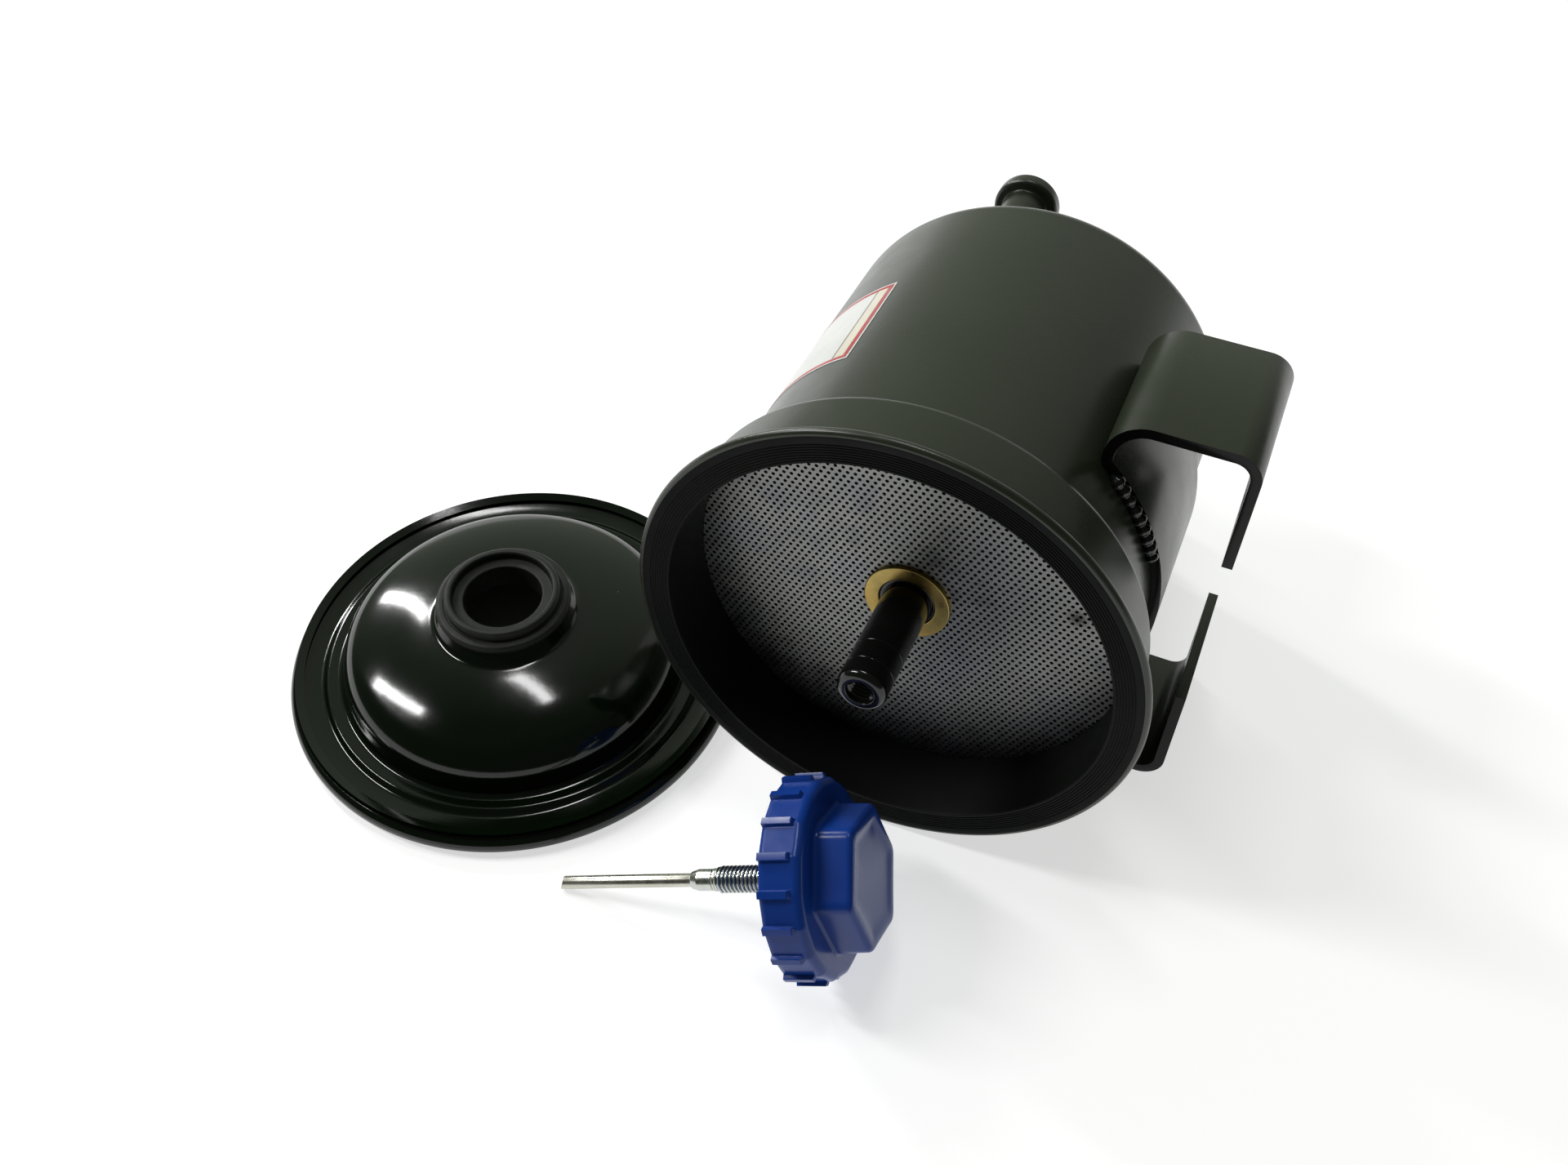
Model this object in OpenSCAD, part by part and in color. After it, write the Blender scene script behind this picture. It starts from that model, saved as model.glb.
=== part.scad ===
// Steel oil reservoir for power steering, laid out in pieces on a flat floor.
// The can lies on its side with its strainer and post in view. The lid rests
// on its skirt beside it, and the filler knob leans on its dipstick in front.
// Row frame: +Z up from the floor, +X to the right, +Y away from the viewer.

/* [Can] */
// Outside diameter of the can body
can_d = 128; // [124:1:130]
// Length of the can from its closed end to the mouth plane
can_len = 144; // [140:1:150]
// Thickness of the pressed sheet in the can and the lid
sheet_t = 1.5; // [1.2:0.1:1.6]
// Radius of the rounded edge of the closed end
end_r = 7; // [5:0.5:9]
// Outside diameter of the collar behind the mouth
collar_d = 139; // [137:1:141]
// Distance from the mouth plane to the ledge of the collar
collar_len = 25.8; // [24:0.2:28]

/* [Mouth] */
// Outside diameter of the mouth flange
mouth_d = 150; // [148:1:154]
// Clear diameter of the throat
throat_d = 130; // [126:1:131]
// Thickness of the mouth flange
flange_t = 3; // [2.5:0.5:4]
// Number of fine gasket grooves in the flange
groove_n = 7; // [4:1:8]
// Radial pitch of the gasket grooves
groove_pitch = 0.8; // [0.7:0.05:0.9]

/* [Strainer and post] */
// Thickness of the perforated strainer sheet
strainer_t = 1; // [0.8:0.1:1.2]
// Diameter of one strainer hole in this coarse pattern
strainer_hole_d = 4; // [3:0.5:5]
// Outside diameter of the plated washer on the strainer
washer_d = 26; // [24:1:30]
// Bore of the plated washer
washer_bore = 17; // [16:0.5:19]
// Thickness of the plated washer
washer_t = 1.5; // [1:0.1:2]
// Outside diameter of the central post
post_d = 14.5; // [13:0.5:16]
// How far the post stands out of the mouth plane
post_out = 15.6; // [10:0.1:18]
// Thread size of the post bore and of the stud on the knob
thread_d = 8; // [8:1:8]
// Depth of the threaded bore in the post
post_bore_len = 28; // [24:1:40]

/* [Filter] */
// Outside diameter of the pleated paper
paper_d = 96; // [80:2:110]
// Number of paper pleats
pleat_n = 48; // [30:2:60]
// Depth of the folds that show outside the glued pack
pleat_depth = 9; // [5:1:14]
// Room between the filter pack and the strainer
head_room = 11.7; // [9:0.1:25]
// Travel of the pack when it lifts as a by-pass
bypass_travel = 6; // [4:1:8]
// Wire diameter of the pack spring
wire_d = 2.5; // [2:0.1:3]
// Working turns of the pack spring
spring_turns = 3.5; // [3:0.5:5]

/* [Strap] */
// Thickness of the folded mounting strap
strap_t = 3; // [2.6:0.1:3.6]
// Width of the strap along the can
strap_w = 48.2; // [44:0.2:52]
// Distance from the closed end to the near edge of the strap
strap_z = 49; // [46:0.5:54]
// Distance from the can axis to the outer face of the flanges
strap_reach = 82.4; // [80:0.2:86]
// Height of the upper arm above the can axis
arm_up = 64; // [60:0.5:66]
// Drop of the lower arm below the can axis
arm_down = 66.5; // [66:0.5:68]
// Length of each flange over its bend
flange_len = 38; // [32:1:42]
// Outside radius of the flange bends
bend_r = 8; // [6:0.5:9]
// Outside radius of the bends beside the can
root_r = 12; // [9:0.5:12]
// Diameter of the strap bolt holes
strap_hole_d = 9; // [8.5:0.5:11]
// Distance between the two holes of a flange
strap_hole_pitch = 28; // [22:1:32]

/* [Ports] */
// Outside diameter of the beaded end of the return port
return_bead_d = 21.6; // [20:0.2:23]
// Outside diameter of the neck of the return port
return_neck_d = 15; // [14:0.5:17]
// Length of the return port behind the can
return_len = 32; // [28:1:36]
// Bore of the return port
return_bore = 10; // [8:0.5:11]
// Outside diameter of the suction port
suction_d = 24; // [22:1:26]
// Bore of the suction port
suction_bore = 20; // [18:0.5:21]
// Length of the suction port behind the can
suction_len = 30; // [26:1:34]

/* [Label] */
// Distance from the closed end to the label
label_z = 47.5; // [40:0.5:60]
// Length of the label along the can
label_len = 42; // [30:1:50]
// Angle of the can that the label wraps
label_wrap = 84; // [60:2:100]
// Thickness of the label
label_t = 0.2; // [0.1:0.05:0.3]

/* [Lid] */
// Outside diameter of the lid rim
lid_d = 150.4; // [150:0.2:154]
// Height of the rolled rim above the floor
rim_h = 14.4; // [13:0.2:16]
// Width of the flat ledge around the dome
ledge_w = 7.2; // [6:0.1:10]
// Height of the dome at its shoulder
dome_h = 19; // [17:0.5:21]
// Height of the crowned slope half way from the shoulder to the neck
crown_h = 26.5; // [25.5:0.1:27]
// Height of the neck seat for the grommet
neck_h = 32.4; // [31:0.2:34]
// Diameter of the neck shoulder
neck_d = 45; // [43:0.5:47]
// Clear bore of the rubber grommet
grommet_bore = 25.2; // [24:0.2:27]
// Diameter of the outer bead of the grommet
grommet_d = 43.6; // [42:0.2:45]

/* [Knob] */
// Diameter over the flat facets of the skirt
knob_d = 55.6; // [50:0.2:60]
// Number of ribs around the skirt
rib_n = 18; // [14:1:20]
// How far each rib stands proud
rib_h = 1.6; // [1.2:0.1:2.4]
// Width of one rib
rib_w = 2.4; // [2:0.1:3]
// Length of the skirt along the axis
skirt_len = 9.6; // [9:0.1:12]
// Diameter over the corners of the grip
grip_d = 41.4; // [38:0.2:45]
// Height of the knob over the grip
knob_h = 23; // [20:0.5:32]
// Length of bare thread under the knob
stud_len = 25.7; // [20:0.1:28]
// Length of the plain collar after the thread
collar_pin_len = 6.8; // [5:0.1:10]
// Diameter of the dipstick rod
dipstick_d = 4; // [3.6:0.2:4.4]
// Length of the dipstick rod
dipstick_len = 44.9; // [40:0.1:55]

/* [Layout on the floor] */
// Sideways place of the mouth centre
can_x = 38.7; // [33:0.1:46]
// Forward place of the mouth centre
can_y = -49; // [-54:0.1:-44]
// Heading of the can away from straight ahead
can_yaw = 23.8; // [20:0.1:28]
// Sideways place of the lid centre
lid_x = -78.9; // [-89:0.1:-77]
// Forward place of the lid centre
lid_y = 5.9; // [1:0.1:21]
// Sideways place of the knob
knob_x = 14.6; // [8:0.1:18]
// Forward place of the knob
knob_y = -93.3; // [-104:0.1:-89]
// Heading of the knob axis from +X
knob_yaw = -11.1; // [-16:0.1:-8]
// Turn of the grip about the knob axis
grip_turn = 55.4; // [0:0.1:59]

/* [Hidden] */
$fn = 128;

paint = [0.14, 0.16, 0.13];
gloss = [0.08, 0.1, 0.07];
rubber = [0.06, 0.06, 0.06];
zinc = [0.75, 0.77, 0.78];
royal = [0.09, 0.17, 0.5];

// Gap left at welded and pressed seats, and between the pack and its post
seat_gap = 0.02;
slide_fit = 0.08;

can_r = can_d / 2;
mouth_r = mouth_d / 2;
collar_r = collar_d / 2;
throat_r = throat_d / 2;
edge_r = flange_t / 2;
ledge_z = can_len - collar_len;
strainer_z = ledge_z + sheet_t;
post_r = post_d / 2;
ledge_bend = 2.6;
foot_t = 3;
post_top = can_len + post_out;
thread_core_r = thread_d / 2 - 0.65;

// The can rests on the mouth edge and on the rounded edge of its closed end
drop_r = (mouth_r - edge_r) - (can_r - end_r);
drop_len = can_len - edge_r - end_r;
dip = atan2(drop_r, drop_len) - asin((end_r - edge_r) / norm([drop_r, drop_len]));
mouth_h = edge_r + (mouth_r - edge_r) * cos(dip);

// Roll of the can that sets the lower strap bend on the floor
strap_end_h = mouth_h - (can_len - edge_r - strap_z) * sin(dip);
bend_y = arm_down - bend_r;
bend_x = strap_reach - bend_r;
bend_room = strap_end_h / cos(dip) - bend_r;
roll = atan2(bend_x, bend_y) - acos(min(1, bend_room / norm([bend_x, bend_y])));

// The knob leans on its lowest rib and on the tip of the dipstick
rib_tip_r = knob_d / 2 + rib_h;
knob_len = stud_len + collar_pin_len + dipstick_len;
knob_pitch = atan2(rib_tip_r - dipstick_d / 2, knob_len);
knob_rise = rib_tip_r * cos(knob_pitch);

// Seams where the pressed end and the collar meet the rolled tube of the can
end_seam_z = end_r + 2;
collar_seam_z = ledge_z - 2.5;

// Place of the ports: distance from the axis and angle round it
return_at = [can_r - 17.84, 110.3];
suction_at = [can_r - 24.6, -66];

// Place of the filter pack over the closed end, its height and its spring radius
pack_z = 24;
pack_h = strainer_z - pack_z - head_room;
spring_r = paper_d / 4;
core_r = post_r + 5.25;
// Radius of the boss that carries the stud inside the knob skirt
boss_r = 9;

function unit(v) = v / norm(v);

// Points of a tangent arc of radius r in the corner a-b-c
function corner(a, b, c, r, n) =
    let (
        u = unit(a - b),
        v = unit(c - b),
        half = acos(max(-1, min(1, u * v))) / 2,
        m = b + unit(u + v) * r / sin(half),
        p = b + u * r / tan(half) - m,
        q = b + v * r / tan(half) - m,
        a0 = atan2(p.y, p.x),
        turn = (atan2(q.y, q.x) - a0 + 540) % 360 - 180
    )
    [for (i = [0:n]) m + r * [cos(a0 + turn * i / n), sin(a0 + turn * i / n)]];

// Polyline with rounded corners: each entry is [x, y, radius]
function rounded(p, n = 10) = [
    for (i = [0:len(p) - 1])
        let (b = [p[i].x, p[i].y])
        each (i == 0 || i == len(p) - 1 || p[i][2] == 0
            ? [b]
            : corner([p[i - 1].x, p[i - 1].y], b, [p[i + 1].x, p[i + 1].y], p[i][2], n))
];

// The same path moved sideways to its left by t
function beside(q, t) = [
    for (i = [0:len(q) - 1])
        let (d = unit(q[min(i + 1, len(q) - 1)] - q[max(i - 1, 0)]))
        q[i] + t * [-d.y, d.x]
];

// Sheet of thickness t that follows a path
module sheet(path, t) {
    far = beside(path, t);
    polygon(concat(path, [for (i = [len(far) - 1:-1:0]) far[i]]));
}

// Ring with a rectangular section
module ring(r_out, r_in, h) {
    difference() {
        cylinder(r = r_out, h = h);
        translate([0, 0, -1])
            cylinder(r = r_in, h = h + 2);
    }
}

// Carries a shape from the upright can to where the can lies
module lay_can() {
    translate([can_x, can_y, mouth_h])
        rotate([90 - dip, 0, -can_yaw])
            rotate([0, 0, -roll])
                translate([0, 0, edge_r - can_len])
                    children();
}

// Carries a shape from the upright lid to its place on the floor
module lay_lid() {
    translate([lid_x, lid_y, 0])
        children();
}

// Carries a shape from the upright knob to its leaning place
module lay_knob() {
    translate([knob_x, knob_y, knob_rise])
        rotate([0, 90 - knob_pitch, knob_yaw])
            children();
}

// Pressed closed end with its rounded edge and the two port holes
module can_end() {
    skin = rounded([
        [0, 0, 0],
        [can_r, 0, end_r],
        [can_r, end_seam_z - seat_gap, 0]
    ], 12);
    color(paint)
        lay_can()
            difference() {
                rotate_extrude()
                    sheet(skin, sheet_t);
                at_return() port_cut(return_neck_d / 2 + seat_gap);
                at_suction() port_cut(suction_d / 2 + seat_gap);
            }
}

// Rolled tube of the can
module can_body() {
    color(paint)
        lay_can()
            translate([0, 0, end_seam_z])
                ring(can_r, can_r - sheet_t, collar_seam_z - end_seam_z);
}

// Pressed collar: ledge for the strainer and seat for the mouth ring
module can_collar() {
    skin = rounded([
        [can_r, collar_seam_z + seat_gap, 0],
        [can_r, ledge_z, 1.2],
        [collar_r, ledge_z, ledge_bend],
        [collar_r, can_len - flange_t, 0]
    ], 12);
    color(paint)
        lay_can()
            rotate_extrude()
                sheet(skin, sheet_t);
}

// Turned ring in the mouth: gasket flange, throat and clamp for the strainer
module mouth_ring() {
    spigot_r = collar_r - sheet_t - seat_gap;
    foot_z = strainer_z + strainer_t;
    color(paint)
        lay_can()
            rotate_extrude()
                difference() {
                    union() {
                        translate([throat_r, can_len - flange_t])
                            square([mouth_r - edge_r - throat_r, flange_t]);
                        translate([mouth_r - edge_r, can_len - edge_r])
                            circle(r = edge_r, $fn = 32);
                        polygon([
                            [throat_r, foot_z],
                            [spigot_r - 1.2, foot_z],
                            [spigot_r, foot_z + 1.2],
                            [spigot_r, can_len - edge_r],
                            [throat_r, can_len - edge_r]
                        ]);
                    }
                    for (i = [0:groove_n - 1])
                        translate([throat_r + 1.2 + i * groove_pitch, can_len])
                            circle(r = 0.28, $fn = 4);
                }
}

// Outer faces of the flanges and arms and the seat face of the saddle, as one line
function strap_line() =
    let (
        off_a = 50,
        steps = 40,
        saddle_r = (can_r + seat_gap) / cos(off_a / steps),
        x_out = strap_reach,
        leg_x = saddle_r * cos(off_a)
    )
    concat(
        [[x_out, arm_up - flange_len, 0], [x_out, arm_up, bend_r], [leg_x, arm_up, root_r]],
        [
            for (i = [0:steps])
                let (w = off_a * (1 - 2 * i / steps))
                [saddle_r * cos(w), saddle_r * sin(w), i % steps == 0 ? 3 : 0]
        ],
        [[leg_x, -arm_down, root_r], [x_out, -arm_down, bend_r], [x_out, flange_len - arm_down, 0]]
    );

module mount_strap() {
    hole_drop = (flange_len + bend_r) / 2;
    color(paint)
        lay_can()
            difference() {
                translate([0, 0, strap_z])
                    linear_extrude(strap_w)
                        strap_section();
                for (y = [arm_up - hole_drop, hole_drop - arm_down], s = [-0.5, 0.5])
                    translate([strap_reach - strap_t - 3, y, strap_z + strap_w / 2 + s * strap_hole_pitch])
                        rotate([0, 90, 0])
                            cylinder(d = strap_hole_d, h = strap_t + 6, $fn = 48);
            }
}

// Cross section of the strap: saddle on the can, two arms, two flanges
module strap_section() {
    sheet(rounded(strap_line(), 10), strap_t);
}

// Weld fillets along both edges of the saddle
module strap_welds() {
    color(paint)
        lay_can() {
            weld(strap_z - seat_gap, -1, 18, 46);
            weld(strap_z - seat_gap, -1, -46, -18);
            weld(strap_z + strap_w + seat_gap, 1, 18, 46);
            weld(strap_z + strap_w + seat_gap, 1, -46, -18);
        }
}

// One weld: small triangular fillet from angle a0 to a1, growing along dir
module weld(z, dir, a0, a1) {
    foot = can_r + seat_gap;
    rotate([0, 0, a0])
        rotate_extrude(angle = a1 - a0)
            polygon([[foot, z], [foot + strap_t, z], [foot + 0.3, z + dir * 2.6], [foot, z + dir * 2.8]]);
}

module at_return() {
    rotate([0, 0, return_at[1]])
        translate([return_at[0], 0, 0])
            children();
}

module at_suction() {
    rotate([0, 0, suction_at[1]])
        translate([suction_at[0], 0, 0])
            children();
}

module port_cut(r) {
    translate([0, 0, -5])
        cylinder(r = r, h = 12);
}

module return_port() {
    bead_r = return_bead_d / 2;
    neck_r = return_neck_d / 2;
    color(paint)
        lay_can()
            at_return()
                rotate_extrude()
                    polygon(concat(
                        [[return_bore / 2, 4], [neck_r, 4], [neck_r, 6 - return_len]],
                        [[bead_r - 0.8, 6 - return_len], [bead_r, 5.2 - return_len]],
                        [[bead_r, 0.8 - return_len], [bead_r - 0.8, -return_len]],
                        [[return_bore / 2 + 0.8, -return_len], [return_bore / 2, 0.8 - return_len]]
                    ));
}

module suction_port() {
    r = suction_d / 2;
    color(paint)
        lay_can()
            at_suction()
                rotate_extrude()
                    polygon(concat(
                        [[suction_bore / 2, 4], [r, 4], [r, 8 - suction_len]],
                        [[r + 0.9, 6.5 - suction_len], [r + 0.9, 5.5 - suction_len], [r, 4 - suction_len]],
                        [[r, 0.8 - suction_len], [r - 0.8, -suction_len], [suction_bore / 2, -suction_len]]
                    ));
}

module port_welds() {
    color(paint)
        lay_can() {
            at_return() foot_weld(return_neck_d / 2);
            at_suction() foot_weld(suction_d / 2);
        }
}

// Weld fillet around a port on the closed end
module foot_weld(r) {
    rotate_extrude()
        polygon([[r + seat_gap, -seat_gap], [r + 2.4, -seat_gap], [r + 0.4, -2.2], [r + seat_gap, -2.2]]);
}

module centre_post() {
    r = post_r;
    foot_z = sheet_t + foot_t + seat_gap;
    side = rounded([
        [r, foot_z, 0],
        [r, post_top, 2.2],
        [thread_core_r + 0.6, post_top, 0]
    ], 8);
    color(gloss)
        lay_can()
            difference() {
                rotate_extrude()
                    polygon(concat(
                        [[0, foot_z]],
                        side,
                        [[thread_core_r, post_top - 0.8], [thread_core_r, post_top - post_bore_len]],
                        [[0, post_top - post_bore_len - 2]]
                    ));
                for (z = [post_top - 14, post_top - 7])
                    translate([0, 0, z])
                        ring(r + 1, r - 0.15, 0.5);
            }
}

// Weld plate that carries the post on the closed end
module post_foot() {
    color(paint)
        lay_can()
            translate([0, 0, sheet_t + seat_gap])
                cylinder(r = post_r + 9, h = foot_t);
}

module strainer_disc() {
    plate_r = collar_r - ledge_bend - seat_gap;
    pitch = strainer_hole_d * 2.1;
    rows = ceil(throat_r / pitch);
    color([0.62, 0.63, 0.66])
        lay_can()
            translate([0, 0, strainer_z])
                linear_extrude(strainer_t)
                    difference() {
                        circle(r = plate_r);
                        circle(r = post_r + slide_fit);
                        for (i = [-rows:rows], j = [-rows:rows]) {
                            x = (i + (abs(j) % 2) / 2) * pitch;
                            y = j * pitch * 0.87;
                            if (norm([x, y]) < throat_r - 5 && norm([x, y]) > washer_d / 2 + 3)
                                translate([x, y])
                                    circle(d = strainer_hole_d, $fn = 12);
                        }
                    }
}

module strainer_washer() {
    color([0.72, 0.6, 0.3])
        lay_can()
            translate([0, 0, strainer_z + strainer_t])
                ring(washer_d / 2, washer_bore / 2, washer_t);
}

// Round wire wound on a straight helix
module coil(r, wire, height, turns) {
    per = 24;
    side = 8;
    n = ceil(turns * per);
    rise = height - wire;
    points = [
        for (i = [0:n], k = [0:side - 1])
            let (a = i * 360 * turns / n, s = k * 360 / side, q = r + wire / 2 * cos(s))
            [q * cos(a), q * sin(a), wire / 2 + rise * i / n + wire / 2 * sin(s)]
    ];
    walls = [
        for (i = [0:n - 1], k = [0:side - 1])
            let (k2 = (k + 1) % side)
            [i * side + k, i * side + k2, (i + 1) * side + k2, (i + 1) * side + k]
    ];
    caps = [[for (k = [side - 1:-1:0]) k], [for (k = [0:side - 1]) n * side + k]];
    polyhedron(points, concat(walls, caps), 10);
}

module pack_spring() {
    base = sheet_t + foot_t + 2 * seat_gap;
    color(zinc)
        lay_can()
            translate([0, 0, base + 1])
                coil(spring_r, wire_d, pack_z - base - 1 - seat_gap, spring_turns);
}

// Dished seat under the spring, on the closed end
module spring_seat() {
    color(zinc)
        lay_can()
            translate([0, 0, sheet_t + foot_t + 2 * seat_gap])
                ring(spring_r + 4, post_r + 1, 1);
}

module pack_base() {
    color(zinc)
        lay_can()
            translate([0, 0, pack_z])
                difference() {
                    union() {
                        cylinder(r = paper_d / 2 + 3, h = 1);
                        ring(paper_d / 2 + 3, paper_d / 2 + 2, 6);
                    }
                    translate([0, 0, -1])
                        cylinder(r = post_r + slide_fit, h = 4);
                }
}

// Pleated paper between the end plates
module filter_paper() {
    color([0.82, 0.74, 0.52])
        lay_can()
            translate([0, 0, pack_z + 1])
                linear_extrude(pack_h - 2)
                    difference() {
                        polygon(star(paper_d / 2, paper_d / 2 - pleat_depth, pleat_n));
                        circle(r = core_r + 1);
                    }
}

// Points of a star with n tips
function star(r_tip, r_root, n) = [
    for (i = [0:2 * n - 1])
        (i % 2 == 0 ? r_tip : r_root) * [cos(i * 180 / n), sin(i * 180 / n)]
];

// Perforated tube inside the paper
module filter_core() {
    color(zinc)
        lay_can()
            translate([0, 0, pack_z + 1])
                difference() {
                    ring(core_r, core_r - 0.8, pack_h - 2);
                    for (z = [8:12:pack_h - 10], a = [0:60:300])
                        rotate([0, 0, a + z * 2.5])
                            translate([core_r - 4, 0, z])
                                rotate([0, 90, 0])
                                    cylinder(d = 4, h = 8, $fn = 12);
                }
}

module pack_cap() {
    color(zinc)
        lay_can()
            translate([0, 0, pack_z + pack_h - 1])
                difference() {
                    union() {
                        cylinder(r = paper_d / 2 + 3, h = 1);
                        translate([0, 0, -5])
                            ring(paper_d / 2 + 3, paper_d / 2 + 2, 6);
                    }
                    translate([0, 0, -1])
                        cylinder(r = post_r + slide_fit, h = 4);
                }
}

// Snap ring on the post that stops the pack against its spring
module post_clip() {
    color(zinc)
        lay_can()
            translate([0, 0, pack_z + pack_h + seat_gap])
                ring(post_r + 4, post_r + seat_gap, 1.2);
}

// Rubber ring on the cap of the pack
module pack_seal() {
    color(rubber)
        lay_can()
            translate([0, 0, pack_z + pack_h])
                ring(core_r + 7.5, core_r + 1.5, 2);
}

module label() {
    color([0.86, 0.84, 0.8])
        lay_can()
            rotate([0, 0, 123.3])
                rotate_extrude(angle = label_wrap)
                    translate([can_r + 0.01, label_z])
                        square([label_t, label_len]);
}

module lid_shell() {
    lid_r = lid_d / 2;
    dome_r = lid_r - 13.8 - ledge_w;
    neck_r = neck_d / 2;
    skin = rounded([
        [lid_r, 0, 0],
        [lid_r, rim_h, 4.4],
        [lid_r - 6.9, rim_h, 2.4],
        [lid_r - 8.6, 5.6, 2.2],
        [lid_r - 12, 5.6, 1.2],
        [lid_r - 13.4, 8, 1.8],
        [dome_r + 0.4, 8, 1.6],
        [dome_r, dome_h, 4.5],
        [(dome_r + neck_r) / 2 - 1, crown_h, 60],
        [neck_r + 2.6, neck_h - 4.2, 3],
        [neck_r, neck_h, 2.4],
        [grommet_bore / 2 + 4, neck_h, 0]
    ], 14);
    color(gloss)
        lay_lid()
            rotate_extrude()
                sheet(skin, sheet_t);
}

// Rubber ring under the rolled rim of the lid
module lid_gasket() {
    cord_r = 1.6;
    color(rubber)
        lay_lid()
            rotate_extrude()
                translate([lid_d / 2 - 4.1, rim_h - sheet_t - cord_r - 0.04])
                    circle(r = cord_r, $fn = 32);
}

// Rubber filler grommet clipped through the neck
module grommet() {
    b = grommet_bore / 2;
    o = grommet_d / 2;
    seat = neck_h + seat_gap;
    under = neck_h - sheet_t - seat_gap;
    clip = b + 4 - seat_gap;
    section = rounded([
        [clip, under, 0],
        [clip, seat, 0],
        [o - 2, seat, 0],
        [o, seat, 1.2],
        [o, seat + 3, 1.4],
        [o - 2.6, seat + 3, 0],
        [o - 3.2, seat + 2.2, 0],
        [o - 3.2, seat + 6, 1.1],
        [b + 3.6, seat + 6, 0.9],
        [b + 3.4, seat + 3.2, 0],
        [b, seat + 3.2, 0.6],
        [b, under - 4, 0],
        [b + 5.6, under - 3, 1],
        [b + 5.6, under, 0]
    ], 6);
    color(rubber)
        lay_lid()
            rotate_extrude()
                polygon(section);
}

// Blue knob: ribbed skirt, sloping face and a rounded hexagon grip
module knob_grip() {
    flat_r = knob_d / 2;
    color(royal)
        lay_knob()
            difference() {
                union() {
                    cylinder(r = flat_r / cos(180 / rib_n), h = skirt_len, $fn = rib_n);
                    translate([0, 0, skirt_len - 0.5])
                        rotate_extrude()
                            polygon(rounded([
                                [0, 0, 0],
                                [flat_r - 0.3, 0, 0],
                                [flat_r - 0.3, 2.8, 2.2],
                                [grip_d / 2 - 1, 3.1, 0],
                                [0, 3.1, 0]
                            ], 10));
                    hull()
                        for (a = [0:60:300])
                            rotate([0, 0, a + grip_turn])
                                translate([grip_d / 2 - 4, 0, skirt_len + 1]) {
                                    cylinder(r = 4, h = knob_h - skirt_len - 3, $fn = 32);
                                    cylinder(r = 2.6, h = knob_h - skirt_len - 1, $fn = 32);
                                }
                    for (i = [0:rib_n - 1])
                        rotate([0, 0, i * 360 / rib_n])
                            translate([flat_r - 1, -rib_w / 2, 0])
                                cube([rib_h + 1, rib_w, skirt_len - 0.3]);
                }
                translate([0, 0, -1])
                    cylinder(d = thread_d + 2 * seat_gap, h = 13);
                translate([0, 0, -1])
                    ring(flat_r - 3, boss_r, 9);
                translate([0, 0, -1])
                    cylinder(r = boss_r + 1, h = 3);
                translate([0, 0, knob_h - 0.8])
                    hull()
                        for (a = [0:60:300])
                            rotate([0, 0, a + grip_turn])
                                translate([grip_d / 2 - 7.5, 0, 0])
                                    cylinder(r1 = 1.6, r2 = 3.2, h = 0.81, $fn = 32);
            }
}

// Steel stud moulded into the knob
module knob_stud() {
    r = thread_d / 2;
    color(zinc)
        lay_knob()
            rotate_extrude()
                polygon([
                    [0, 12 - seat_gap], [r, 12 - seat_gap], [r, 1 - stud_len], [r - 0.8, -stud_len],
                    [3.2, -stud_len], [3.2, 2 - stud_len - collar_pin_len],
                    [2.6, -stud_len - collar_pin_len], [0, -stud_len - collar_pin_len]
                ]);
}

// Dipstick rod with its slanted tip
module dipstick() {
    r = dipstick_d / 2;
    color(zinc)
        lay_knob()
            translate([0, 0, -knob_len])
                difference() {
                    cylinder(r = r, h = dipstick_len - seat_gap, $fn = 48);
                    translate([r, 0, 0])
                        rotate([0, 30, 0])
                            translate([-20, -10, -10])
                                cube([20, 20, 10]);
                }
}

// Flat rubber washer on the stud, under the knob
module knob_seal() {
    color(rubber)
        lay_knob()
            translate([0, 0, 0.4])
                ring(boss_r - 0.5, thread_d / 2 + seat_gap, 1.6 - seat_gap);
}

can_end();
can_body();
can_collar();
mouth_ring();
mount_strap();
strap_welds();
return_port();
suction_port();
port_welds();
centre_post();
post_foot();
strainer_disc();
strainer_washer();
pack_spring();
spring_seat();
pack_base();
filter_paper();
filter_core();
pack_cap();
post_clip();
pack_seal();
label();
lid_shell();
lid_gasket();
grommet();
knob_grip();
knob_stud();
dipstick();
knob_seal();
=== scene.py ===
"""Looks of the power steering reservoir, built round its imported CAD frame."""

import math
import random

import bmesh
import bpy
from mathutils import Matrix, Vector


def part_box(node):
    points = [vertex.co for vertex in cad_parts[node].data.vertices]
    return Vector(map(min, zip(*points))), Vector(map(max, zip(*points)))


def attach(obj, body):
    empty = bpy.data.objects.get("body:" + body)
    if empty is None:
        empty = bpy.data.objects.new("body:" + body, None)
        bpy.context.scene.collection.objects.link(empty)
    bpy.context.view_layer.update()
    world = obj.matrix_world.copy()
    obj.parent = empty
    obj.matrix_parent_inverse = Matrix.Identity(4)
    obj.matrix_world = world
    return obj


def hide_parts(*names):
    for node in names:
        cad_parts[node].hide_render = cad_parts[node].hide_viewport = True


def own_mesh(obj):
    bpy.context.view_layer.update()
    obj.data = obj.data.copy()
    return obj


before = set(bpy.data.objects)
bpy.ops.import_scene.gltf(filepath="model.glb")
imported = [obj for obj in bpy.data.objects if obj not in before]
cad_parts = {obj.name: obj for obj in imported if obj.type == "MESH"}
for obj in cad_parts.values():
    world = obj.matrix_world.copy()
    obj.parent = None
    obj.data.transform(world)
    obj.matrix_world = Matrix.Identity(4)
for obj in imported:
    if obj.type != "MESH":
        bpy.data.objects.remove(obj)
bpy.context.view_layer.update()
random.seed(7)

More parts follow.
